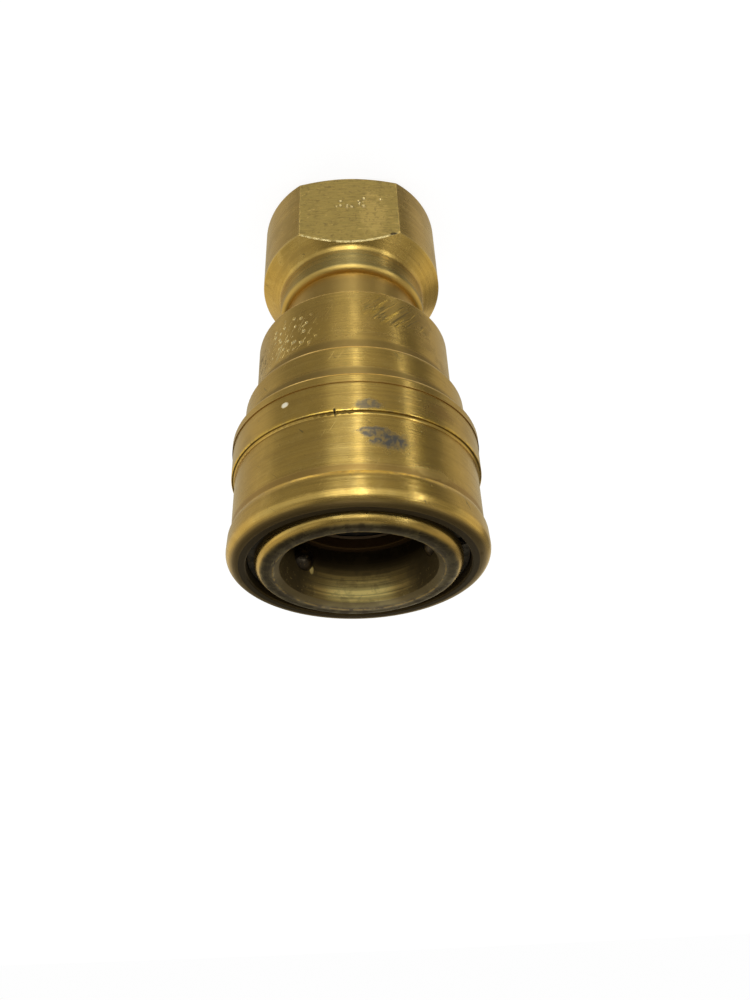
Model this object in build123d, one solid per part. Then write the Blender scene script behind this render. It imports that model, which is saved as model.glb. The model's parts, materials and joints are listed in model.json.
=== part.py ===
from build123d import *
import os
from math import cos, pi, radians, sin

# Quick disconnect coupler, socket half, standing on its pipe end with the mouth up. Millimetres.
# The origin is the centre of the pipe port's mouth and +Z runs out of the socket's mouth.
# Lengthwise places are stations: distances from the nose face back towards the pipe end.
LENGTH = 72.0
RUNNING_GAP = 0.06  # radial clearance between the sleeve and what it slides on

# Nose and band of the front body
NOSE_R = 15.0
NOSE_ROUND = 1.7
BAND_R = 15.875
BAND_START = 20.5
BAND_END = 40.7
BAND_ROUND = 0.4

# Socket
MOUTH_R = 11.44
MOUTH_CHAMFER = 0.86
MOUTH_END = 4.6
BALL_ZONE_R = 11.6
PROBE_LEAD_ROUND = 0.25
SOCKET_FLOOR = 9.8
PROBE_R = 10.4
SEAL_GROOVE_R = 12.6
SEAL_GROOVE = (11.6, 14.65)
WEB_FRONT = 17.0

# Valve seat, valve chamber and the bore for the adapter
SEAT_R = 7.5
SEAT_START = 18.2
CHAMBER_R = 10.8
SPIGOT_BORE_R = 11.65
GUIDE_START = 28.5
GUIDE_FLANGE = 1.5

# Snap ring in the nose
RING_GROOVE_R = 14.3
RING_GROOVE = (2.1, 3.3)
RING_R = 15.95
RING_SIDE_GAP = 0.04
RING_GAP_ANGLE = 200
RING_GAP_WIDTH = 2.2

# Locking balls
BALLS = 3
BALL_FIRST_ANGLE = 41
BALL_R = 2.25
BALL_STATION = 7.0
BALL_LOCKED_R = 12.5
BALL_HOLE_R = 2.32
BALL_HOLE_NECK_R = 1.95
BALL_HOLE_TAPER = (11.2, 12.2)

# Sleeve
SLEEVE_FRONT = 0.8
SLEEVE_END = 28.1
LIP_R = 16.1
LIP_ROUND = 1.7
COLLAR_R = 19.05
COLLAR_REAR_R = 18.87
COLLAR_END = 5.4
COLLAR_EASE = (0.3, 0.7)  # radial and lengthwise size of the eased rear edge
WAIST_R = 18.45
WAIST_END = 14.75
WAIST_FOOT_ROUND = 0.35
GRIP_R = 18.98
GRIP_END = 19.55
LAND_R = 19.12
LAND_END = 21.4
LAND_ROUND = 0.8
LAND_FOOT_ROUND = 0.45
SKIRT_R = 17.45
EDGE_ROUND = 0.28
SKIRT_ROUND = 0.9
RING_STOP = 3.33
RAMP_FRONT_R = 15.73
RAMP_END = 7.25
LOCK_END = 10.5
SPRING_ROOM_R = 17.2
SPRING_ROOM_END = 20.8

# Sleeve spring and valve spring
SLEEVE_WIRE_R = 0.6
SLEEVE_COIL_R = 15.82
SLEEVE_TURNS = 3.2
SPRING_SEAT = 0.5
SPRING_SEAT_R = 17.1
VALVE_WIRE_R = 0.4
VALVE_COIL_R = 3.95
VALVE_TURNS = 7
POINTS_PER_TURN = 12
CLOSED_RISE = 1.8  # rise of a spring's closed end turn, as a multiple of its wire's radius

# Poppet
CAP_FRONT = 14.6
CAP_R = 6.9
CAP_END = 18.65
CAP_ROUND = 1.1
POPPET_NECK_R = 4.0
NECK_FRONT = 16.2
DISC_FRONT = 20.0
DISC_R = 8.8
DISC_END = 21.8
STEM_FLANGE_R = 5.0
STEM_FLANGE_END = 22.6
PILOT_R = 3.1
PILOT_END = 24.2
STEM_R = 2.0
STEM_END = 38.8
CLIP = (37.3, 37.9)
CLIP_GROOVE_R = 1.5
CLIP_R = 3.1
CLIP_GAP_WIDTH = 1.6
SEAL_SEAT_GAP = 0.05

# Valve guide
GUIDE_R = 11.6
CUP_R = 7.9
CUP_WALL = 1.0
CUP_FLOOR = (35.0, 36.5)
HUB_R = 3.3
HUB_FRONT = 32.8
WINDOWS = 3
WINDOW_R = (4.7, 6.9)
WINDOW_ARC = 84

# Rear adapter
SPIGOT_FRONT = 30.0
SPIGOT_R = 11.6
FLOW_R = 8.0
O_RING_GROOVE = (31.6, 34.2)
O_RING_GROOVE_R = 9.9
STEP_STATION = 49.5
STEP_ROUND = 1.0
COLLAR_NECK_R = 12.7
NECK_END = 54.3
CONE_FOOT_ROUND = 1.2
CONE_END = 56.9
REAR_R = 15.875
REAR_CHAMFER = 70.2
REAR_FACE_R = 13.0
FLAT_HALF = 13.4
PORT_R = 10.61
PORT_MOUTH_R = 11.4
PORT_CHAMFER = 0.8
PORT_FLOOR = 57.2

# Rubber and plastic rings
SOCKET_WIRE_R = 1.2
ADAPTER_WIRE_R = 0.85
BACKUP_WIDTH = 0.5
BACKUP_R = (10.45, 12.56)
ADAPTER_BACKUP_WIDTH = 0.8
ADAPTER_BACKUP_R = (9.94, 11.6)


def height(station):
    """Z of a station."""
    return LENGTH - station


def turned(points, rounds=()):
    """Solid turned about Z from an outline of (radius, station) points.

    rounds holds (point number, fillet radius) pairs for the outline's corners.
    """
    corners = [(r, 0, height(s)) for r, s in points]
    outline = make_face(Polyline(*corners, close=True))
    for number, radius in rounds:
        at = Vector(corners[number])
        corner = min(outline.vertices(), key=lambda v: (Vector(v) - at).length)
        outline = outline.face().fillet_2d(radius, [corner])
    return revolve(outline, Axis.Z)


def tube(outer, inner, start, end):
    """Plain ring between two stations."""
    return turned([(inner, start), (outer, start), (outer, end), (inner, end)])


def torus_ring(wire_r, ring_r, station):
    return Pos(0, 0, height(station)) * Torus(ring_r, wire_r)


def coil(wire_r, coil_r, start, end, turns):
    """Compression spring with closed, flat-ground ends between two stations."""
    rise = height(start) - height(end) - 2 * wire_r
    closed_rise = CLOSED_RISE * wire_r
    open_pitch = (rise - 2 * closed_rise) / (turns - 2)

    def lift(turn):
        """Height of the wire's centre after so many turns, closed over the first and last one."""
        if turn < 1:
            return closed_rise * turn
        if turn > turns - 1:
            return rise - closed_rise * (turns - turn)
        return closed_rise + open_pitch * (turn - 1)

    steps = round(turns * POINTS_PER_TURN)
    bottom = height(end) + wire_r
    points = []
    for i in range(steps + 1):
        turn = turns * i / steps
        angle = 2 * pi * turn
        points.append((coil_r * cos(angle), coil_r * sin(angle), bottom + lift(turn)))
    path = Spline(*points)
    wire = Plane(origin=path @ 0, z_dir=path % 0) * Circle(wire_r)
    grind = Pos(0, 0, (height(start) + height(end)) / 2) * Cylinder(
        coil_r + 3 * wire_r, height(start) - height(end) - wire_r
    )
    return sweep(wire, path=path, is_frenet=True) & grind


def ball_angle(number):
    return BALL_FIRST_ANGLE + 360 * number / BALLS


def ball_hole():
    """Cutter for one ball hole along +X: straight outside, with a neck that keeps the ball in."""
    inner, outer = BALL_HOLE_TAPER
    outline = Polyline(
        (inner, 0),
        (inner, BALL_HOLE_NECK_R),
        (outer, BALL_HOLE_R),
        (NOSE_R + 1, BALL_HOLE_R),
        (NOSE_R + 1, 0),
        close=True,
    )
    return Pos(0, 0, height(BALL_STATION)) * revolve(make_face(outline), Axis.X)


def front_body():
    seat_rise = CHAMBER_R - SEAT_R
    body = turned(
        [
            (MOUTH_R + MOUTH_CHAMFER, 0),
            (NOSE_R, 0),
            (NOSE_R, RING_GROOVE[0]),
            (RING_GROOVE_R, RING_GROOVE[0]),
            (RING_GROOVE_R, RING_GROOVE[1]),
            (NOSE_R, RING_GROOVE[1]),
            (NOSE_R, BAND_START),
            (BAND_R, BAND_START),
            (BAND_R, BAND_END),
            (SPIGOT_BORE_R, BAND_END),
            (SPIGOT_BORE_R, GUIDE_START),
            (CHAMBER_R, GUIDE_START),
            (CHAMBER_R, SEAT_START + seat_rise),
            (SEAT_R, SEAT_START),
            (SEAT_R, WEB_FRONT),
            (PROBE_R, WEB_FRONT),
            (PROBE_R, SEAL_GROOVE[1]),
            (SEAL_GROOVE_R, SEAL_GROOVE[1]),
            (SEAL_GROOVE_R, SEAL_GROOVE[0]),
            (PROBE_R, SEAL_GROOVE[0]),
            (PROBE_R, SOCKET_FLOOR),
            (BALL_ZONE_R, SOCKET_FLOOR),
            (BALL_ZONE_R, MOUTH_END),
            (MOUTH_R, MOUTH_END),
            (MOUTH_R, MOUTH_CHAMFER),
        ],
        [(1, NOSE_ROUND), (8, BAND_ROUND), (20, PROBE_LEAD_ROUND)],
    )
    for number in range(BALLS):
        body -= Rot(0, 0, ball_angle(number)) * ball_hole()
    return body


def split_ring(outer, inner, start, end, gap_width, gap_angle):
    """Ring between two stations with a gap through it."""
    gap = Pos(outer, 0, height((start + end) / 2)) * Box(outer, gap_width, LENGTH)
    return tube(outer, inner, start, end) - Rot(0, 0, gap_angle) * gap


def retaining_ring():
    return split_ring(
        RING_R,
        RING_GROOVE_R + RING_SIDE_GAP,
        RING_GROOVE[0] + RING_SIDE_GAP,
        RING_GROOVE[1] - RING_SIDE_GAP,
        RING_GAP_WIDTH,
        RING_GAP_ANGLE,
    )


def sleeve():
    ease_depth, ease_length = COLLAR_EASE
    return turned(
        [
            (LIP_R, SLEEVE_FRONT),
            (COLLAR_R, SLEEVE_FRONT),
            (COLLAR_REAR_R, COLLAR_END - ease_length),
            (COLLAR_REAR_R - ease_depth, COLLAR_END),
            (WAIST_R, COLLAR_END),
            (WAIST_R, WAIST_END),
            (GRIP_R, WAIST_END),
            (GRIP_R, GRIP_END),
            (LAND_R, GRIP_END),
            (LAND_R, LAND_END),
            (SKIRT_R, LAND_END),
            (SKIRT_R, SLEEVE_END),
            (BAND_R + RUNNING_GAP, SLEEVE_END),
            (BAND_R + RUNNING_GAP, SPRING_ROOM_END),
            (SPRING_ROOM_R, SPRING_ROOM_END),
            (SPRING_ROOM_R, LOCK_END),
            (NOSE_R + RUNNING_GAP, LOCK_END),
            (NOSE_R + RUNNING_GAP, RAMP_END),
            (RAMP_FRONT_R, RING_STOP),
            (LIP_R, RING_STOP),
        ],
        [
            (0, EDGE_ROUND),
            (1, LIP_ROUND),
            (2, LIP_ROUND),
            (5, WAIST_FOOT_ROUND),
            (6, EDGE_ROUND / 2),
            (9, LAND_ROUND),
            (10, LAND_FOOT_ROUND),
            (11, SKIRT_ROUND),
        ],
    )


def rear_adapter():
    """Spigot, neck, wrench end and pipe port, in one turned piece with two flats."""
    adapter = turned(
        [
            (FLOW_R, SPIGOT_FRONT),
            (SPIGOT_R, SPIGOT_FRONT),
            (SPIGOT_R, O_RING_GROOVE[0]),
            (O_RING_GROOVE_R, O_RING_GROOVE[0]),
            (O_RING_GROOVE_R, O_RING_GROOVE[1]),
            (SPIGOT_R, O_RING_GROOVE[1]),
            (SPIGOT_R, STEP_STATION),
            (COLLAR_NECK_R, STEP_STATION),
            (COLLAR_NECK_R, NECK_END),
            (REAR_R, CONE_END),
            (REAR_R, REAR_CHAMFER),
            (REAR_FACE_R, LENGTH),
            (PORT_MOUTH_R, LENGTH),
            (PORT_R, LENGTH - PORT_CHAMFER),
            (PORT_R, PORT_FLOOR),
            (FLOW_R, PORT_FLOOR),
        ],
        [(1, EDGE_ROUND), (7, STEP_ROUND), (8, CONE_FOOT_ROUND)],
    )
    depth = REAR_R
    for side in (-1, 1):
        middle = Pos(0, side * (FLAT_HALF + depth / 2), height((NECK_END + LENGTH) / 2))
        adapter -= middle * Box(3 * REAR_R, depth, LENGTH - NECK_END)
    return adapter


def poppet_stem():
    """Neck for the seal and disc, flange, spring pilot and stem with a clip groove."""
    return turned(
        [
            (0, NECK_FRONT),
            (POPPET_NECK_R, NECK_FRONT),
            (POPPET_NECK_R, DISC_END),
            (STEM_FLANGE_R, DISC_END),
            (STEM_FLANGE_R, STEM_FLANGE_END),
            (PILOT_R, STEM_FLANGE_END),
            (PILOT_R, PILOT_END),
            (STEM_R, PILOT_END),
            (STEM_R, CLIP[0]),
            (CLIP_GROOVE_R, CLIP[0]),
            (CLIP_GROOVE_R, CLIP[1]),
            (STEM_R, CLIP[1]),
            (STEM_R, STEM_END),
            (0, STEM_END),
        ],
        [(12, EDGE_ROUND)],
    )


def poppet_cap():
    return turned(
        [
            (0, CAP_FRONT),
            (CAP_R, CAP_FRONT),
            (CAP_R, CAP_END),
            (POPPET_NECK_R, CAP_END),
            (POPPET_NECK_R, NECK_FRONT),
            (0, NECK_FRONT),
        ],
        [(1, CAP_ROUND)],
    )


def poppet_seal():
    """Conical rubber ring that follows the seat at a small gap."""
    front_r = SEAT_R + CAP_END - SEAT_START - SEAL_SEAT_GAP
    rear_r = front_r + DISC_FRONT - CAP_END
    return turned(
        [
            (POPPET_NECK_R, CAP_END),
            (front_r, CAP_END),
            (rear_r, DISC_FRONT),
            (POPPET_NECK_R, DISC_FRONT),
        ]
    )


def valve_guide():
    """Flanged cup with a stem bore in its hub and windows in its floor."""
    flange_end = GUIDE_START + GUIDE_FLANGE
    cup_inner = CUP_R - CUP_WALL
    stem_bore = STEM_R + RUNNING_GAP
    guide = turned(
        [
            (cup_inner, GUIDE_START),
            (GUIDE_R, GUIDE_START),
            (GUIDE_R, flange_end),
            (CUP_R, flange_end),
            (CUP_R, CUP_FLOOR[1]),
            (stem_bore, CUP_FLOOR[1]),
            (stem_bore, HUB_FRONT),
            (HUB_R, HUB_FRONT),
            (HUB_R, CUP_FLOOR[0]),
            (cup_inner, CUP_FLOOR[0]),
        ]
    )
    inner, outer = WINDOW_R
    middle = Pos(0, 0, height(sum(CUP_FLOOR) / 2))
    ring = middle * (Cylinder(outer, CUP_WALL * 4) - Cylinder(inner, CUP_WALL * 4))
    bar_width = 2 * inner * sin(radians((360 / WINDOWS - WINDOW_ARC) / 2))
    for i in range(WINDOWS):
        bar = middle * Pos(outer / 2, 0, 0) * Box(outer, bar_width, CUP_WALL * 5)
        ring -= Rot(0, 0, 360 * i / WINDOWS) * bar
    return guide - ring


def locking_ball(number):
    at = Pos(BALL_LOCKED_R, 0, height(BALL_STATION))
    return Rot(0, 0, ball_angle(number)) * at * Sphere(BALL_R)


def pieces():
    backup_front = SEAL_GROOVE[0] + RING_SIDE_GAP
    socket_ring_station = SEAL_GROOVE[1] - RING_SIDE_GAP - SOCKET_WIRE_R
    socket_ring_r = SEAL_GROOVE_R - RING_SIDE_GAP - SOCKET_WIRE_R
    adapter_backup_end = O_RING_GROOVE[1] - RING_SIDE_GAP
    made = {
        "front_body": front_body(),
        "rear_adapter": rear_adapter(),
        "adapter_o_ring": torus_ring(
            ADAPTER_WIRE_R,
            (O_RING_GROOVE_R + SPIGOT_BORE_R) / 2,
            O_RING_GROOVE[0] + RING_SIDE_GAP + ADAPTER_WIRE_R,
        ),
        "adapter_backup_ring": tube(
            ADAPTER_BACKUP_R[1],
            ADAPTER_BACKUP_R[0],
            adapter_backup_end - ADAPTER_BACKUP_WIDTH,
            adapter_backup_end,
        ),
        "socket_o_ring": torus_ring(SOCKET_WIRE_R, socket_ring_r, socket_ring_station),
        "backup_ring": tube(BACKUP_R[1], BACKUP_R[0], backup_front, backup_front + BACKUP_WIDTH),
        "retaining_ring": retaining_ring(),
        "valve_guide": valve_guide(),
        "poppet_stem": poppet_stem(),
        "poppet_disc": tube(DISC_R, POPPET_NECK_R, DISC_FRONT, DISC_END),
        "poppet_cap": poppet_cap(),
        "poppet_seal": poppet_seal(),
        "stem_clip": split_ring(
            CLIP_R, CLIP_GROOVE_R + RING_SIDE_GAP, CLIP[0], CLIP[1], CLIP_GAP_WIDTH, RING_GAP_ANGLE
        ),
        "valve_spring": coil(VALVE_WIRE_R, VALVE_COIL_R, STEM_FLANGE_END, CUP_FLOOR[0], VALVE_TURNS),
        "sleeve": sleeve(),
        "sleeve_spring_seat": tube(
            SPRING_SEAT_R, NOSE_R + RUNNING_GAP, BAND_START - SPRING_SEAT, BAND_START
        ),
        "sleeve_spring": coil(
            SLEEVE_WIRE_R, SLEEVE_COIL_R, LOCK_END, BAND_START - SPRING_SEAT, SLEEVE_TURNS
        ),
    }
    for number in range(BALLS):
        made[f"locking_ball_{number + 1}"] = locking_ball(number)
    return made


os.makedirs("parts", exist_ok=True)
for name, shape in pieces().items():
    export_step(shape, f"parts/{name}.step")
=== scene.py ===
import json
import math

import bmesh
import bpy
from mathutils import Matrix, Vector


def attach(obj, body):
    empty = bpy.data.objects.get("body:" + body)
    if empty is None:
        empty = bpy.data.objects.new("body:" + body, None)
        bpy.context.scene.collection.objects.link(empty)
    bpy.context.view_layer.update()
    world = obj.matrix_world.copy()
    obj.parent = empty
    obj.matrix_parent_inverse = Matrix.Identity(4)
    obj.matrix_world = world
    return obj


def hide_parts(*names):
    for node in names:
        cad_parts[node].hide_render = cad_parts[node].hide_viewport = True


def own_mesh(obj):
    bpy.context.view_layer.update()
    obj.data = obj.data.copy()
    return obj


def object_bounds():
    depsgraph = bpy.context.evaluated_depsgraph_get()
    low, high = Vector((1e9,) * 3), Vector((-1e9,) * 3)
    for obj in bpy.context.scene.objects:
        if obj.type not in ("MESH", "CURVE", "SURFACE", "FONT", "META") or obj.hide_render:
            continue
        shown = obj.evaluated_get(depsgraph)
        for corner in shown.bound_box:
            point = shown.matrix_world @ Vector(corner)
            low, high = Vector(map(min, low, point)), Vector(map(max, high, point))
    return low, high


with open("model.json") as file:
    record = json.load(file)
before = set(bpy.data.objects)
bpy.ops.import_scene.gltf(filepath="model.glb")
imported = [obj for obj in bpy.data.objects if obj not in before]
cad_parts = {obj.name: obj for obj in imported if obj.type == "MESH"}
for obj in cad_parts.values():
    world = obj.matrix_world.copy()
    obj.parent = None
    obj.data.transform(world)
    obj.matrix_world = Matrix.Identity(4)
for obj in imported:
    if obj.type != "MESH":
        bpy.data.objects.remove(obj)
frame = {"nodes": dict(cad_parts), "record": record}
cad_low, cad_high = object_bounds()

MM = 0.001
LENGTH = cad_high.z / MM  # millimetres, as all lengths below unless they say otherwise
PALE = (0.97, 0.97, 0.97, 1.0)

# ---------------------------------------------------------------- camera

CAMERA_AT = Vector((-0.44, -96.35, 119.92))
CAMERA_LOOK = Vector((-0.0194, 0.8470, -0.5312))
CAMERA_RIGHT = Vector((-0.9993, 0.0, 0.0364))
LENS = 27.04  # focal length, with the sensor's long side below
SENSOR = 36.0


def make_camera():
    """Looks down into the mouth from above and in front, as if the coupler lay on its back."""
    data = bpy.data.cameras.new("camera")
    data.sensor_fit = "VERTICAL"
    data.sensor_height = SENSOR
    data.lens = LENS
    data.clip_start = 1 * MM
    data.clip_end = 20.0
    camera = bpy.data.objects.new("camera", data)
    bpy.context.scene.collection.objects.link(camera)
    back = -CAMERA_LOOK.normalized()
    up = back.cross(CAMERA_RIGHT).normalized()
    right = up.cross(back)
    turn = Matrix((right, up, back)).transposed()
    camera.matrix_world = Matrix.Translation(CAMERA_AT * MM) @ turn.to_4x4()
    bpy.context.scene.camera = camera


make_camera()

# ---------------------------------------------------------------- node helpers


class Graph:
    """Short names for building a node tree."""

    def __init__(self, tree):
        self.tree = tree
        tree.nodes.clear()

    def node(self, kind, inputs=None, **settings):
        made = self.tree.nodes.new(kind)
        for key, value in settings.items():
            setattr(made, key, value)
        for key, value in (inputs or {}).items():
            self.feed(made.inputs[key], value)
        return made

    def feed(self, socket, value):
        if isinstance(value, bpy.types.NodeSocket):
            self.tree.links.new(value, socket)
        else:
            socket.default_value = value

    def math(self, operation, a, b=0.0):
        return self.node("ShaderNodeMath", {0: a, 1: b}, operation=operation).outputs[0]

    def ramp(self, value, low, high, start=0.0, end=1.0):
        """Smooth change from start to end while value goes from low to high."""
        inputs = {"Value": value, "From Min": low, "From Max": high, "To Min": start, "To Max": end}
        made = self.node("ShaderNodeMapRange", inputs, interpolation_type="SMOOTHSTEP")
        return made.outputs[0]

    def band(self, value, low, high, soft):
        """1 between low and high and 0 outside, with soft edges."""
        rise = self.ramp(value, low - soft, low)
        fall = self.ramp(value, high, high + soft, 1.0, 0.0)
        return self.math("MULTIPLY", rise, fall)

    def mix(self, share, a, b):
        made = self.node("ShaderNodeMix", data_type="RGBA")
        self.feed(made.inputs["Factor"], share)
        self.feed(made.inputs["A"], a)
        self.feed(made.inputs["B"], b)
        return made.outputs["Result"]

    def blend(self, share, a, b):
        made = self.node("ShaderNodeMix", data_type="FLOAT")
        self.feed(made.inputs["Factor"], share)
        self.feed(made.inputs["A"], a)
        self.feed(made.inputs["B"], b)
        return made.outputs["Result"]

    def vector(self, x, y, z):
        return self.node("ShaderNodeCombineXYZ", {0: x, 1: y, 2: z}).outputs[0]

    def noise(self, vector, scale, detail=3.0, roughness=0.55, distortion=0.0):
        inputs = {
            "Vector": vector,
            "Scale": scale,
            "Detail": detail,
            "Roughness": roughness,
            "Distortion": distortion,
        }
        return self.node("ShaderNodeTexNoise", inputs).outputs["Fac"]


# ---------------------------------------------------------------- studio

# The room is dimmer on the camera's side of the coupler, over the angles from -Y towards -X.
ROOM_LIGHT = 0.52
DIM_SIDE = (-70, 80, 25, 0.28)  # from and to in degrees, softness, and level
# Wide soft cards on the dim side: from and to in degrees, softness, and level added.
SOFT_CARDS = (
    (-10, 12, 25, 0.15),
    (48, 52, 8, 0.06),
    (65, 80, 8, -0.12),
)
# Long lights: from and to in degrees, softness, strength, and the z between which they fade out.
LONG_LIGHTS = (
    (-19, 5, 8, 0.40, -0.72, -0.57),
    (0.5, 4.5, 2, 1.35, -0.84, -0.60),
    (49, 51, 1.5, 1.7, -0.80, -0.60),
)
DARK_CARDS = ((-172, -158, 6), (124, 141, 6))  # from and to in degrees, and softness
DARK_CARD_SHADE = 0.62
LEVEL_GAIN = (1.2, 0.5)  # brightening level with the coupler, in front and behind
BELOW_GAIN = 1.5
TOP_LIGHT = (0.14, 0.62)  # level over the middle and over the sides
OVERHEAD_LIGHT = 0.75
MOUTH_SIDE_LIGHT = 0.055


def studio_world():
    """Pale surroundings to the eye. Reflections see a studio: long lights along the coupler on the
    -Y side, soft cards beside them, a glow all round and below, and dark cards behind.
    """
    world = bpy.data.worlds.new("studio")
    bpy.context.scene.world = world
    world.use_nodes = True
    g = Graph(world.node_tree)
    generated = g.node("ShaderNodeTexCoord").outputs["Generated"]
    x, y, z = g.node("ShaderNodeSeparateXYZ", {0: generated}).outputs
    turn = g.math("ARCTAN2", g.math("MULTIPLY", x, -1.0), g.math("MULTIPLY", y, -1.0))
    degrees = g.math("DEGREES", turn)
    start, end, soft, level = DIM_SIDE
    room = g.blend(g.band(degrees, start, end, soft), ROOM_LIGHT, level)
    for start, end, soft, level in SOFT_CARDS:
        room = g.math("ADD", room, g.math("MULTIPLY", g.band(degrees, start, end, soft), level))
    for start, end, soft, strength, faded, full in LONG_LIGHTS:
        light = g.math("MULTIPLY", g.band(degrees, start, end, soft), g.ramp(z, faded, full))
        room = g.math("ADD", room, g.math("MULTIPLY", light, strength))
    for start, end, soft in DARK_CARDS:
        card = g.math("MULTIPLY", g.band(degrees, start, end, soft), g.ramp(z, -0.42, -0.30))
        room = g.math("MULTIPLY", room, g.math("SUBTRACT", 1.0, g.math("MULTIPLY", card, DARK_CARD_SHADE)))
    behind = g.ramp(y, -0.3, 0.3)
    level_glow = g.math("MULTIPLY", g.band(z, -0.32, 0.34, 0.18), g.blend(behind, *LEVEL_GAIN))
    below = g.ramp(z, -0.86, -0.94)
    below_glow = g.math("MULTIPLY", below, BELOW_GAIN)
    gain = g.math("ADD", 1.0, g.math("ADD", level_glow, below_glow))
    room = g.math("MULTIPLY", room, gain)
    sideways = g.math("ABSOLUTE", x)
    top = g.blend(g.ramp(sideways, 0.38, 0.66), *TOP_LIGHT)
    room = g.blend(g.ramp(z, 0.42, 0.80), room, top)
    mouth_side = g.math("MULTIPLY", g.ramp(z, 0.22, 0.45), g.ramp(y, -0.25, 0.30))
    mouth_side = g.math("MULTIPLY", mouth_side, g.ramp(sideways, 0.80, 0.45))
    room = g.blend(mouth_side, room, MOUTH_SIDE_LIGHT)
    room = g.blend(g.ramp(z, 0.955, 0.985), room, OVERHEAD_LIGHT)
    tint = g.mix(g.ramp(room, 0.30, 0.75), (1.0, 0.97, 0.82, 1.0), (1.0, 1.05, 1.04, 1.0))
    tint = g.mix(g.math("MAXIMUM", below, behind), tint, (1.0, 0.93, 0.70, 1.0))
    reflected = g.node("ShaderNodeBackground", {"Color": tint, "Strength": room})
    seen = g.node("ShaderNodeBackground", {"Color": PALE, "Strength": 1.02})
    ray = g.node("ShaderNodeLightPath")
    mixed = g.node("ShaderNodeMixShader", {0: ray.outputs["Is Glossy Ray"]})
    g.feed(mixed.inputs[1], seen.outputs[0])
    g.feed(mixed.inputs[2], reflected.outputs[0])
    g.feed(g.node("ShaderNodeOutputWorld").inputs[0], mixed.outputs[0])


FLOOR_GAP = 0.02 * MM
FLOOR_R = 6.0  # metres


def floor():
    """Pale round floor under the rear face, softly lit from within and clear from below."""
    mesh = bpy.data.meshes.new("floor")
    shape = bmesh.new()
    bmesh.ops.create_circle(shape, cap_ends=True, segments=96, radius=FLOOR_R)
    shape.to_mesh(mesh)
    shape.free()
    disc = bpy.data.objects.new("floor", mesh)
    bpy.context.scene.collection.objects.link(disc)
    material = bpy.data.materials.new("floor")
    material.use_nodes = True
    g = Graph(material.node_tree)
    matt = g.node("ShaderNodeBsdfDiffuse", {"Color": (0.16, 0.16, 0.16, 1.0)})
    glow = g.node("ShaderNodeEmission", {"Color": PALE, "Strength": 0.91})
    both = g.node("ShaderNodeAddShader")
    g.feed(both.inputs[0], matt.outputs[0])
    g.feed(both.inputs[1], glow.outputs[0])
    underside = g.node("ShaderNodeNewGeometry").outputs["Backfacing"]
    sided = g.node("ShaderNodeMixShader", {0: underside})
    g.feed(sided.inputs[1], both.outputs[0])
    g.feed(sided.inputs[2], g.node("ShaderNodeBsdfTransparent").outputs[0])
    g.feed(g.node("ShaderNodeOutputMaterial").inputs[0], sided.outputs[0])
    mesh.materials.append(material)
    disc.location.z = -FLOOR_GAP
    disc.visible_glossy = False
    disc.visible_shadow = False
    disc.visible_diffuse = False


studio_world()
floor()
bpy.context.scene.view_settings.view_transform = "Standard"

# ---------------------------------------------------------------- surfaces

GOLD = (0.64, 0.42, 0.110, 1.0)
PALE_GOLD = (0.71, 0.49, 0.155, 1.0)
DULL = (0.42, 0.275, 0.074, 1.0)
EDGE_GOLD = (0.80, 0.52, 0.105, 1.0)
BROWN = (0.34, 0.20, 0.06, 1.0)
GREY_GREEN = (0.33, 0.30, 0.14, 1.0)
# Dark brown laid both as real grime and as painted shade in steps, gaps and hollows.
GRIME_AND_SHADE = (0.075, 0.052, 0.022, 1.0)
DIRT = (0.16, 0.125, 0.062, 1.0)
STAIN = (0.105, 0.104, 0.104, 1.0)
OUTWARD_SHARE = 0.73  # lets the tool marks run on across faces square to the axis


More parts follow.
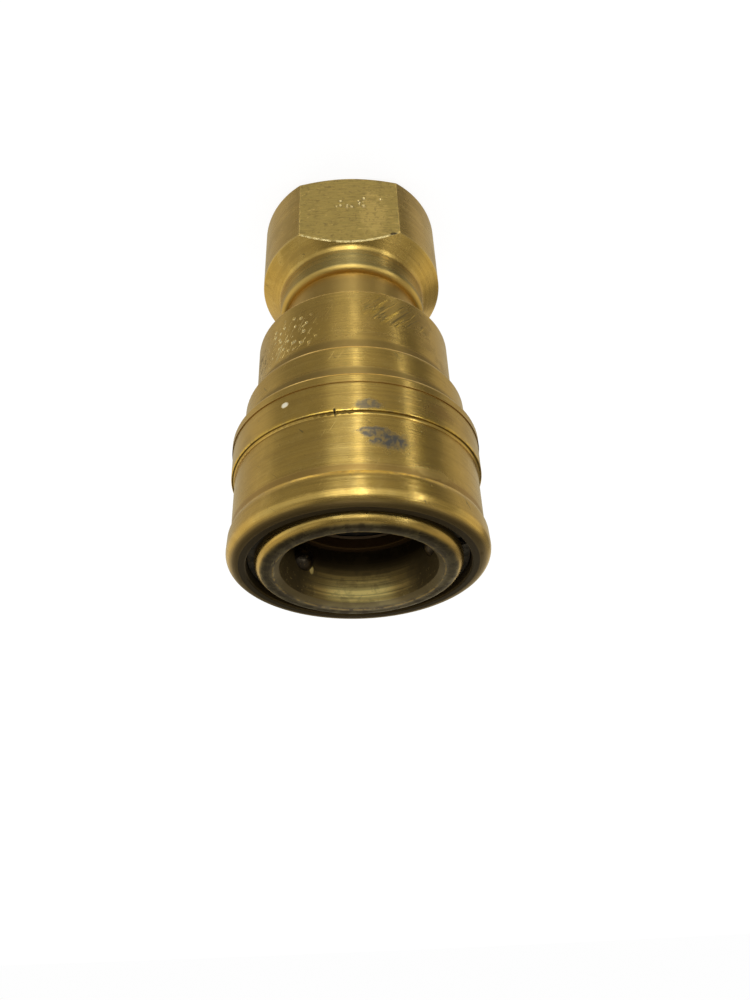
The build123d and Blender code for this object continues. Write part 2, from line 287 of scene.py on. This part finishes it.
class Surface:
    """Colour, roughness and height (in millimetres) of one material, built up in layers."""

    def __init__(self, name, colour, roughness, metallic=1.0):
        self.material = bpy.data.materials.new(name)
        self.material.use_nodes = True
        self.g = g = Graph(self.material.node_tree)
        object_place = g.node("ShaderNodeTexCoord").outputs["Object"]
        inputs = {0: object_place, "Scale": 1 / MM}
        self.place = g.node("ShaderNodeVectorMath", inputs, operation="SCALE").outputs[0]
        self.x, self.y, self.z = g.node("ShaderNodeSeparateXYZ", {0: self.place}).outputs
        flat = g.math("ADD", g.math("MULTIPLY", self.x, self.x), g.math("MULTIPLY", self.y, self.y))
        self.radius = g.math("SQRT", flat)
        self.station = g.math("SUBTRACT", LENGTH, self.z)
        turn = g.math("ARCTAN2", g.math("MULTIPLY", self.x, -1.0), g.math("MULTIPLY", self.y, -1.0))
        self.degrees = g.math("DEGREES", turn)
        self.around = g.math("MULTIPLY", turn, self.radius)
        self.along = g.math("ADD", self.station, g.math("MULTIPLY", self.radius, OUTWARD_SHARE))
        self.colour = colour
        self.rough = roughness
        self.height = 0.0
        self.metallic = metallic

    def cloud(self, scale, low, high, detail=4.0, seed=0.0):
        """Uneven patches from 0 to 1, about 1 / scale mm across."""
        moved = self.g.node("ShaderNodeVectorMath", {0: self.place, 1: (seed, seed, seed)}).outputs[0]
        return self.g.ramp(self.g.noise(moved, scale, detail, 0.6, 0.3), low, high)

    def rings(self, fineness, low, high, seed=0.0):
        """Circular marks round the axis, from 0 to 1."""
        g = self.g
        drift = 0.035
        spot = g.vector(
            g.math("MULTIPLY", self.x, drift),
            g.math("MULTIPLY", self.y, drift),
            g.math("ADD", g.math("MULTIPLY", self.along, fineness), seed),
        )
        return g.ramp(g.noise(spot, 1.0, 4.0, 0.7), low, high)

    def hairlines(self, slant, spacing, share, seed=0.0, thick=0.010):
        """Fine scratches at a slant in degrees from the way round, from 0 to 1."""
        g = self.g
        sine, cosine = math.sin(math.radians(slant)), math.cos(math.radians(slant))
        way = g.math("ADD", g.math("MULTIPLY", self.around, cosine), g.math("MULTIPLY", self.along, sine))
        cross = g.math(
            "SUBTRACT", g.math("MULTIPLY", self.along, cosine), g.math("MULTIPLY", self.around, sine)
        )
        stretched = g.vector(
            g.math("MULTIPLY", way, 0.10 / spacing), g.math("MULTIPLY", cross, 1.0 / spacing), seed
        )
        off = g.math("ABSOLUTE", g.math("SUBTRACT", g.noise(stretched, 1.0, 1.0), 0.5))
        line = g.ramp(off, thick, 0.2 * thick)
        patch = g.vector(g.math("MULTIPLY", way, 0.35), g.math("MULTIPLY", cross, 0.8), seed + 5.0)
        return g.math("MULTIPLY", line, g.ramp(g.noise(patch, 1.0, 2.0), 1.0 - share, 1.08 - share))

    def near(self, circles, reach, soft):
        """1 near any of the (radius, station) circles, fading over soft millimetres."""
        g = self.g
        nearest = 1000.0
        for radius, station in circles:
            out = g.math("SUBTRACT", self.radius, radius)
            back = g.math("SUBTRACT", self.station, station)
            apart = g.math("ADD", g.math("MULTIPLY", out, out), g.math("MULTIPLY", back, back))
            nearest = g.math("MINIMUM", g.math("SQRT", apart), nearest)
        return g.ramp(nearest, reach + soft, reach)

    def patch(self, degrees, station, wide, long, ragged=0.35):
        """Ragged oval spot, wide degrees by long millimetres in half-width, from 0 to 1."""
        g = self.g
        over = g.math("MULTIPLY", g.math("SUBTRACT", self.degrees, degrees), 1.0 / wide)
        back = g.math("MULTIPLY", g.math("SUBTRACT", self.station, station), 1.0 / long)
        apart = g.math("SQRT", g.math("ADD", g.math("MULTIPLY", over, over), g.math("MULTIPLY", back, back)))
        uneven = g.math("SUBTRACT", g.noise(self.place, 0.7, 4.0, 0.65), 0.5)
        uneven = g.math("MULTIPLY", uneven, 4.0 * ragged)
        return g.ramp(g.math("ADD", apart, uneven), 1.1, 0.55)

    def both(self, *masks):
        """Where all the masks are."""
        total = masks[0]
        for mask in masks[1:]:
            total = self.g.math("MULTIPLY", total, mask)
        return total

    def coat(self, mask, colour=None, rough=None, height=None, metallic=None):
        """Lay a colour, roughness, height or metalness over what is there, where the mask is."""
        if colour is not None:
            self.colour = self.g.mix(mask, self.colour, colour)
        if rough is not None:
            self.rough = self.g.blend(mask, self.rough, rough)
        if metallic is not None:
            self.metallic = self.g.blend(mask, self.metallic, metallic)
        if height is not None:
            self.height = self.g.math("ADD", self.height, self.g.math("MULTIPLY", mask, height))

    def finish(self, **fixed):
        """Wire up the shader. fixed holds constant values for its other inputs."""
        g = self.g
        bump = g.node("ShaderNodeBump", {"Height": self.height, "Strength": 1.0, "Distance": MM})
        shader = g.node(
            "ShaderNodeBsdfPrincipled",
            {
                "Base Color": self.colour,
                "Metallic": self.metallic,
                "Roughness": self.rough,
                "Normal": bump.outputs[0],
            },
        )
        for key, value in fixed.items():
            shader.inputs[key.replace("_", " ")].default_value = value
        if "Anisotropic" in fixed:
            shader.inputs["Anisotropic Rotation"].default_value = 0.25
            tangent = g.node("ShaderNodeTangent", direction_type="RADIAL", axis="Z")
            g.feed(shader.inputs["Tangent"], tangent.outputs[0])
        g.feed(g.node("ShaderNodeOutputMaterial").inputs[0], shader.outputs[0])
        return self.material


def turned_brass(name, worn=0.6, roughness=0.25, seed=0.0):
    """Turned brass: circular tool marks, uneven tarnish, small dark pits and hairline scratches."""
    s = Surface(name, GOLD, roughness)
    s.coat(s.both(s.cloud(0.13, 0.38, 0.66, 5.0, seed), worn), DULL, roughness + 0.10)
    s.coat(s.both(s.cloud(0.35, 0.52, 0.70, 4.0, seed + 9.0), 0.45), PALE_GOLD, roughness - 0.03)
    s.coat(s.rings(1.3, 0.42, 0.62, seed), height=0.0075)
    s.coat(s.both(s.rings(1.1, 0.52, 0.66, seed + 3.0), 0.42 * worn), BROWN, roughness + 0.08)
    s.coat(s.rings(5.0, 0.35, 0.65, seed + 6.0), height=0.0018)
    s.coat(s.both(s.rings(4.0, 0.50, 0.66, seed + 8.0), 0.45), DULL)
    s.coat(s.both(s.rings(2.0, 0.54, 0.70, seed + 12.0), 0.40), PALE_GOLD, roughness - 0.04)
    s.coat(s.both(s.hairlines(3.0, 0.8, 0.55, seed), 0.5), PALE_GOLD, height=-0.002)
    s.coat(s.both(s.hairlines(62.0, 1.1, 0.42, seed + 1.0), 0.6), PALE_GOLD, roughness + 0.1, -0.003)
    s.coat(s.both(s.hairlines(-48.0, 1.3, 0.40, seed + 2.0), 0.6), DIRT, roughness + 0.1, -0.003)
    s.coat(s.both(s.cloud(1.9, 0.66, 0.76, 3.0, seed + 4.0), 0.55), BROWN, roughness + 0.2, -0.004)
    return s


# ---------------------------------------------------------------- materials

COLLAR_REAR = 5.4
GRIP_FRONT = 14.75
GRIP_REAR = 19.55


def sleeve_brass():
    s = turned_brass("brass_sleeve", 0.55, 0.20, 2.0)
    # Brighter gold along the ring edges: partly worn brass, partly a painted highlight.
    edge_wear_and_sheen = s.cloud(0.8, 0.36, 0.56)
    s.coat(
        s.both(s.near(((18.66, 5.2), (18.98, 14.8), (18.9, 21.2), (17.2, 27.9)), 0.20, 0.30), edge_wear_and_sheen, 0.9),
        EDGE_GOLD,
        0.2,
    )
    # Painted shade: a dark line along the grip ring's front step.
    s.coat(s.both(s.near(((18.74, GRIP_FRONT),), 0.02, 0.16), 0.65), GRIME_AND_SHADE, 0.5)
    # Painted shade: a brown line along the grip ring's rear step.
    s.coat(s.both(s.near(((18.98, GRIP_REAR),), 0.03, 0.16), 0.7), BROWN, 0.5)
    # Painted shade: brown at the foot behind the collar's rear edge.
    s.coat(s.both(s.near(((18.45, COLLAR_REAR + 0.6),), 0.25, 0.55), 0.7), BROWN, 0.42)
    # Painted shade: a darker band on the skirt just behind the land's rear edge.
    s.coat(s.both(s.near(((17.45, 22.9),), 0.35, 0.75), 0.75), (0.25, 0.165, 0.055, 1.0), 0.42)
    # Painted shade: the lip's front face darkened.
    s.coat(s.both(s.g.ramp(s.station, 1.5, 0.9), 0.85), (0.20, 0.14, 0.062, 1.0), 0.42)
    # Painted shade: the sleeve's inner faces darkened.
    s.coat(s.g.ramp(s.radius, 17.3, 17.1), GRIME_AND_SHADE, 0.5)
    s.coat(s.both(s.patch(15.0, 10.3, 12.0, 2.6), 0.45), DULL, 0.36)
    streaky = s.g.blend(s.cloud(1.0, 0.36, 0.58, 4.0, 14.0), 0.40, 1.0)
    s.coat(s.both(s.patch(7.0, 11.6, 7.5, 1.15, 0.4), streaky, 0.9), STAIN, 0.45, 0.004)
    s.coat(s.both(s.patch(14.5, 10.2, 8.5, 1.6, 0.4), streaky, 0.95), STAIN, 0.45, 0.004)
    s.coat(s.both(s.patch(6.0, 15.7, 7.0, 0.9, 0.5), streaky, 0.75), STAIN, 0.45, 0.003)
    s.coat(s.patch(-30.0, 17.9, 1.9, 0.5, 0.12), (0.78, 0.72, 0.55, 1.0), 0.5, 0.05, 0.2)
    s.coat(s.patch(-8.0, 14.75, 0.55, 0.55, 0.2), GRIME_AND_SHADE, 0.6, -0.05)
    s.coat(s.both(s.patch(38.0, 17.2, 9.0, 1.6), 0.5), BROWN, 0.35)
    s.coat(s.both(s.patch(33.0, 6.6, 12.0, 0.9), 0.55), PALE_GOLD, 0.33, 0.003)
    return s.finish(Anisotropic=0.6)


def punched_dots(s, seed):
    """Small round pits in the curved surface, in about a third of the cells."""
    g = s.g
    spot = g.vector(s.around, s.station, seed)
    cells = g.node("ShaderNodeTexVoronoi", {"Vector": spot, "Scale": 1.0, "Randomness": 0.9})
    pit = g.ramp(cells.outputs["Distance"], 0.37, 0.25)
    chance = g.node("ShaderNodeSeparateXYZ", {0: cells.outputs["Color"]}).outputs[0]
    return g.math("MULTIPLY", pit, g.math("GREATER_THAN", chance, 0.42))


def body_brass():
    s = turned_brass("brass_body", 0.75, 0.24, 21.0)
    g = s.g
    band = g.ramp(s.radius, 15.4, 15.6)
    s.coat(s.both(band, s.patch(8.0, 36.0, 60.0, 4.5, 0.25), 0.20), BROWN, 0.28)
    s.coat(s.both(band, s.cloud(0.22, 0.44, 0.58, 4.0, 33.0), 0.6), GOLD, 0.18)
    s.coat(s.both(band, s.near(((15.6, 40.5),), 0.1, 0.35), s.cloud(0.9, 0.4, 0.6)), PALE_GOLD, 0.22)
    # Painted shade: a darker ring on the band just behind the sleeve's rear end.
    s.coat(s.both(band, g.ramp(s.station, 30.9, 30.1), 0.75), (0.25, 0.16, 0.05, 1.0), 0.42)
    left = s.both(band, s.patch(-42.0, 34.5, 26.0, 4.4, 0.2))
    s.coat(s.both(left, punched_dots(s, 3.0)), (0.88, 0.70, 0.34, 1.0), 0.16, -0.14)
    s.coat(s.both(left, s.hairlines(57.0, 1.0, 0.55, 38.0)), (0.85, 0.66, 0.30, 1.0), 0.2, -0.03)
    s.coat(s.both(band, s.patch(-70.0, 34.0, 15.0, 4.0), s.cloud(1.2, 0.48, 0.6), 0.7), GRIME_AND_SHADE, 0.5)
    right = s.both(band, s.patch(26.0, 37.0, 22.0, 3.2, 0.3))
    s.coat(s.both(right, 0.35), DULL, 0.36)
    s.coat(s.both(right, s.hairlines(50.0, 1.3, 0.85, 31.0, 0.030), 0.9), EDGE_GOLD, 0.22, -0.02)
    dark_lines = s.both(right, s.hairlines(44.0, 1.2, 0.80, 35.0, 0.034), 0.8)
    s.coat(dark_lines, (0.17, 0.12, 0.045, 1.0), 0.45, -0.02)
    # Inside the socket: dirty dark brass, also darkened as painted shade.
    inside = s.both(g.ramp(s.radius, 12.9, 12.5), g.ramp(s.station, 17.2, 17.0))
    s.coat(inside, (0.12, 0.084, 0.032, 1.0), 0.45, metallic=0.75)
    # Painted light: a lit pool on the bore's bottom wall near the mouth, where the lamp shines in, streaked
    # along the turning marks.
    lit_bottom_wall = s.both(inside, g.ramp(s.y, 6.5, 11.2), g.ramp(s.station, 7.5, 3.5))
    streaked = s.both(lit_bottom_wall, g.blend(s.rings(1.4, 0.40, 0.60, 27.0), 0.50, 1.0))
    s.coat(s.both(streaked, 0.85), (0.85, 0.58, 0.16, 1.0), 0.55, metallic=0.40)
    # Painted light: the brightest, nearly matt middle of that pool.
    bright = s.both(inside, g.ramp(s.y, 9.7, 11.2), g.ramp(s.station, 5.8, 2.6))
    shining = s.both(bright, g.blend(s.rings(1.4, 0.36, 0.56, 27.0), 0.35, 1.0))
    s.coat(shining, (1.0, 0.80, 0.26, 1.0), 0.5, metallic=0.12)
    # Painted shadow: the bore darkened past where the mouth's upper edge casts its shadow.
    s.coat(s.both(inside, g.ramp(s.station, 5.0, 8.5)), (0.030, 0.020, 0.009, 1.0), 0.58, metallic=1.0)
    front = g.ramp(s.station, 8.5, 6.0)
    s.coat(s.both(inside, front, s.rings(2.6, 0.42, 0.62, 25.0), 0.5), (0.12, 0.085, 0.03, 1.0), 0.5, 0.006)
    s.coat(s.both(inside, s.cloud(0.55, 0.48, 0.62), 0.3), GRIME_AND_SHADE, 0.6, 0.01)
    flecks = s.both(inside, s.cloud(2.2, 0.60, 0.68), g.ramp(s.station, 5.0, 3.0))
    s.coat(s.both(flecks, 0.6), (0.55, 0.42, 0.16, 1.0), 0.3, 0.01)
    s.coat(s.both(inside, s.patch(-139.5, 5.6, 2.2, 0.9, 0.3)), (0.90, 0.68, 0.22, 1.0), 0.4, 0.06, 0.3)
    bevel = s.both(g.ramp(s.station, 0.90, 0.80), g.ramp(s.radius, 12.36, 12.26))
    s.coat(s.both(bevel, 0.85), (0.12, 0.088, 0.036, 1.0), 0.42)
    # Painted shade: the inner step deep in the bore darkened.
    step = s.both(g.ramp(s.radius, 11.5, 11.3), g.band(s.station, 9.7, 11.4, 0.2))
    s.coat(step, (0.075, 0.042, 0.016, 1.0), 0.55)
    face = g.ramp(s.station, 0.40, 0.05)
    s.coat(face, DIRT, 0.42)
    s.coat(s.both(face, s.cloud(0.6, 0.40, 0.58), 0.8), (0.075, 0.055, 0.030, 1.0), 0.5)
    s.coat(s.both(face, s.hairlines(12.0, 0.5, 0.55, 41.0), 0.7), (0.35, 0.28, 0.12, 1.0), 0.3, -0.003)
    s.coat(s.both(s.near(((12.30, 0.0),), 0.05, 0.15), s.cloud(0.9, 0.4, 0.55), 0.6), DULL, 0.3)
    # Painted shade: the nose's side under the sleeve's lip darkened.
    side = s.both(g.band(s.station, 1.6, 5.0, 0.3), g.ramp(s.radius, 14.0, 14.3))
    s.coat(s.both(side, 0.8), GRIME_AND_SHADE, 0.5)
    return s.finish(Anisotropic=0.4)


FLAT_Y = 13.4
FLAT_HALF_WIDTH = 8.51
CONE_START = 54.3
NECK_R = 12.7
CONE_RISE = 1.221  # radius gained per millimetre of station
SPIGOT_R = 11.6


def adapter_brass():
    s = turned_brass("brass_adapter", 0.65, 0.25, 40.0)
    g = s.g
    on_flat = g.ramp(g.math("ABSOLUTE", s.y), FLAT_Y - 0.06, FLAT_Y - 0.02)
    flat = s.both(on_flat, g.ramp(s.station, 54.5, 54.7))
    across = g.vector(g.math("MULTIPLY", s.x, 0.42), g.math("MULTIPLY", s.station, 3.2), 2.0)
    milled = g.noise(across, 1.0, 5.0, 0.7)
    s.coat(s.both(flat, 0.9), (0.37, 0.265, 0.076, 1.0), 0.34)
    s.coat(s.both(flat, g.ramp(milled, 0.50, 0.62), 0.55), (0.20, 0.135, 0.045, 1.0), 0.42)
    fine = g.vector(g.math("MULTIPLY", s.x, 0.5), g.math("MULTIPLY", s.station, 6.0), 6.0)
    s.coat(s.both(flat, g.ramp(g.noise(fine, 1.0, 4.0, 0.7), 0.50, 0.66), 0.45), GOLD, height=0.003)
    s.coat(s.both(flat, g.ramp(milled, 0.40, 0.60)), height=0.006)
    s.coat(s.both(flat, s.patch(17.0, 62.0, 9.0, 6.0, 0.5), 0.35), PALE_GOLD, 0.30)
    s.coat(s.both(flat, s.cloud(1.5, 0.60, 0.68, 4.0, 8.0), 0.65), (0.22, 0.15, 0.06, 1.0), 0.45, -0.01)
    s.coat(s.both(flat, s.hairlines(8.0, 0.6, 0.50, 12.0), 0.7), PALE_GOLD, 0.25, -0.006)
    nicked = s.both(flat, s.patch(3.0, 65.2, 26.0, 1.7, 0.2), punched_dots(s, 9.0))
    s.coat(nicked, (0.90, 0.72, 0.36, 1.0), 0.2, -0.10)
    s.coat(s.both(flat, s.cloud(1.1, 0.54, 0.64, 5.0, 17.0), 0.45), (0.19, 0.13, 0.045, 1.0), 0.42)
    cone_r = g.math("ADD", g.math("MULTIPLY", g.math("SUBTRACT", s.station, CONE_START), CONE_RISE), NECK_R)
    off = g.math("ABSOLUTE", g.math("SUBTRACT", cone_r, s.radius))
    rim = s.both(flat, g.ramp(off, 0.55, 0.15), s.cloud(0.9, 0.35, 0.5, 3.0, 5.0))
    s.coat(rim, (0.85, 0.68, 0.33, 1.0), 0.22, -0.03)
    beside = g.math("ABSOLUTE", g.math("SUBTRACT", g.math("ABSOLUTE", s.x), FLAT_HALF_WIDTH))
    side_edge = s.both(g.ramp(beside, 0.22, 0.05), g.ramp(s.station, 55.5, 56.2), s.cloud(0.8, 0.4, 0.6))
    s.coat(s.both(side_edge, 0.8), PALE_GOLD, 0.22)
    s.coat(s.both(flat, s.patch(29.0, 56.7, 2.2, 0.35, 0.6)), GRIME_AND_SHADE, 0.5, -0.10)
    neck = s.both(g.band(s.station, 50.2, 53.6, 0.4), g.ramp(s.radius, 13.4, 13.0))
    s.coat(s.both(neck, 0.4), GREY_GREEN, 0.28)
    s.coat(s.both(neck, s.rings(2.4, 0.45, 0.6, 51.0), 0.45), (0.22, 0.19, 0.085, 1.0), 0.40, 0.006)
    spigot = g.ramp(s.station, 50.2, 48.6)
    s.coat(s.both(spigot, 0.62), (0.46, 0.30, 0.095, 1.0), 0.36)
    # Painted highlight: a lighter gold band over the step at the neck's front end.
    s.coat(s.both(g.band(s.station, 49.3, 50.2, 0.3), 0.6), GOLD, 0.45)
    # Painted shade where the spigot meets the body's band.
    s.coat(s.near(((SPIGOT_R, 40.7),), 0.15, 0.6), GRIME_AND_SHADE, 0.5)
    s.coat(s.near(((15.875, 57.0),), 0.10, 0.25), PALE_GOLD, 0.25)
    bore = s.both(g.ramp(s.radius, 11.5, 11.2), g.ramp(s.station, 56.9, 57.4))
    s.coat(s.both(bore, 0.6), DIRT, 0.4)
    return s.finish(Anisotropic=0.35)


def valve_brass():
    s = turned_brass("brass_valve", 0.5, 0.30, 63.0)
    s.coat(s.both(s.cloud(0.4, 0.40, 0.62, 4.0, 64.0), 0.75), DIRT, 0.45)
    s.coat(s.both(s.near(((5.8, 14.65), (8.8, 20.0), (8.8, 21.8)), 0.12, 0.3), 0.8), PALE_GOLD, 0.24)
    return s.finish()


def dirty_steel(name, colour, roughness, seed):
    """Spring or bearing steel under an uneven film of old grease."""
    s = Surface(name, colour, roughness)
    shade = tuple(0.45 * part for part in colour[:3]) + (1.0,)
    s.coat(s.both(s.cloud(0.7, 0.40, 0.62, 4.0, seed), 0.8), shade, roughness + 0.15)
    s.coat(s.both(s.cloud(1.6, 0.56, 0.66, 4.0, seed + 3.0), 0.7), (0.20, 0.14, 0.07, 1.0), 0.55, 0.004)
    s.coat(s.both(s.hairlines(2.0, 0.4, 0.6, seed), 0.7), colour, roughness - 0.08, -0.002)
    s.coat(s.both(s.hairlines(70.0, 0.6, 0.5, seed + 1.0), 0.7), shade, roughness + 0.1, -0.002)
    return s.finish()


def soft_ring(name, colour, dust, roughness, seed):
    """Rubber or plastic ring: matt, with dust and small nibs."""
    s = Surface(name, colour, roughness, 0.0)
    s.coat(s.both(s.cloud(0.6, 0.42, 0.66, 4.0, seed), 0.6), dust, roughness + 0.12)
    s.coat(s.cloud(2.5, 0.55, 0.70, 4.0, seed + 2.0), height=0.008)
    s.coat(s.both(s.rings(3.0, 0.5, 0.65, seed), 0.35), dust, height=0.003)
    return s.finish(Specular_IOR_Level=0.10)


materials = {
    "brass_body": body_brass(),
    "brass_adapter": adapter_brass(),
    "brass_sleeve": sleeve_brass(),
    "brass_valve": valve_brass(),
    "ring_steel": dirty_steel("ring_steel", (0.15, 0.13, 0.10, 1.0), 0.42, 70.0),
    "spring_steel": dirty_steel("spring_steel", (0.42, 0.42, 0.41, 1.0), 0.30, 75.0),
    "ball_steel": dirty_steel("ball_steel", (0.085, 0.066, 0.046, 1.0), 0.30, 80.0),
    "rubber": soft_ring("rubber", (0.012, 0.010, 0.008, 1.0), (0.034, 0.024, 0.014, 1.0), 0.70, 85.0),
    "backup_plastic": soft_ring(
        "backup_plastic", (0.13, 0.085, 0.045, 1.0), (0.06, 0.04, 0.02, 1.0), 0.60, 90.0
    ),
}

for part in frame["record"]["subparts"]:
    piece = frame["nodes"][part["node"]]
    piece.material_slots[0].material = materials[part["material_slot"]]

# ---------------------------------------------------------------- pieces finer than the CAD model


def swept_mesh(name, outline, path_points):
    """Mesh from an outline of (outward, upward) points carried along points round the Z axis."""
    shape = bmesh.new()
    loops = []
    for angle, radius, z in path_points:
        loop = []
        for out, up in outline:
            reach = (radius + out) * MM
            loop.append(shape.verts.new((reach * math.cos(angle), reach * math.sin(angle), (z + up) * MM)))
        loops.append(loop)
    count = len(outline)
    for before, after in zip(loops, loops[1:]):
        for i in range(count):
            j = (i + 1) % count
            shape.faces.new((before[i], before[j], after[j], after[i]))
    shape.faces.new(loops[0][::-1])
    shape.faces.new(loops[-1])
    bmesh.ops.recalc_face_normals(shape, faces=shape.faces)
    mesh = bpy.data.meshes.new(name)
    shape.to_mesh(mesh)
    shape.free()
    piece = bpy.data.objects.new(name, mesh)
    bpy.context.scene.collection.objects.link(piece)
    return piece


THREAD_PITCH = 1.814
THREAD_WALL_R = 10.61
THREAD_DEPTH = 1.15
THREAD_LENGTH = 12.2
THREAD_TAPER = 1 / 32  # radius lost per millimetre going in
THREAD_START = 1.4
STEPS_PER_TURN = 64


def pipe_thread():
    """Helical ridge of the tapered thread, standing in from the port's wall."""
    half_foot = 0.47 * THREAD_PITCH
    half_crest = 0.07 * THREAD_PITCH
    turns = THREAD_LENGTH / THREAD_PITCH
    steps = round(turns * STEPS_PER_TURN)
    path = []
    for i in range(steps + 1):
        z = THREAD_START + THREAD_LENGTH * i / steps
        path.append((2 * math.pi * turns * i / steps, THREAD_WALL_R - THREAD_TAPER * z, z))
    sunk = 0.45  # reaches into the wall all the way up the taper
    outline = (
        (sunk, -half_foot),
        (0.0, -half_foot),
        (-THREAD_DEPTH, -half_crest),
        (-THREAD_DEPTH, half_crest),
        (0.0, half_foot),
        (sunk, half_foot),
    )
    ridge = swept_mesh("pipe_thread_ridge", outline, path)
    ridge.data.materials.append(materials["brass_adapter"])
    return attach(ridge, "socket_body")


WIRE_SIDES = 14
CLOSED_RISE = 1.8  # of the wire's radius, gained over the closed first and last turn


def spring(name, node, body, slot, wire_r, coil_r, low, high, turns):
    """Coil spring with closed ends between two heights, in place of the hidden CAD spring and carried by a
    body.
    """
    rise = high - low - 2 * wire_r
    closed = CLOSED_RISE * wire_r
    pitch = (rise - 2 * closed) / (turns - 2)
    path = []
    steps = round(turns * STEPS_PER_TURN)
    for i in range(steps + 1):
        turn = turns * i / steps
        lift = closed + pitch * (turn - 1)
        if turn < 1:
            lift = closed * turn
        if turn > turns - 1:
            lift = rise - closed * (turns - turn)
        path.append((2 * math.pi * turn, coil_r, low + wire_r + lift))
    outline = []
    for i in range(WIRE_SIDES):
        angle = 2 * math.pi * i / WIRE_SIDES
        outline.append((wire_r * math.cos(angle), wire_r * math.sin(angle)))
    wire = swept_mesh(name, outline, path)
    for face in wire.data.polygons:
        face.use_smooth = len(face.vertices) == 4
    wire.data.materials.append(materials[slot])
    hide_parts(node)
    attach(wire, body)
    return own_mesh(wire)


SLEEVE_WIRE_R = 0.6
SLEEVE_COIL_R = 15.82
SLEEVE_TURNS = 3.2
SLEEVE_SPRING_LOW, SLEEVE_SPRING_HIGH = LENGTH - 20.0, LENGTH - 10.5
VALVE_WIRE_R = 0.4
VALVE_COIL_R = 3.95
VALVE_TURNS = 7
VALVE_SPRING_LOW, VALVE_SPRING_HIGH = LENGTH - 35.0, LENGTH - 22.6

pipe_thread()
spring(
    "sleeve_spring_wire", "sleeve_spring", "spring_carrier", "spring_steel",
    SLEEVE_WIRE_R, SLEEVE_COIL_R, SLEEVE_SPRING_LOW, SLEEVE_SPRING_HIGH, SLEEVE_TURNS,
)
spring(
    "valve_spring_wire", "valve_spring", "socket_body", "spring_steel",
    VALVE_WIRE_R, VALVE_COIL_R, VALVE_SPRING_LOW, VALVE_SPRING_HIGH, VALVE_TURNS,
)
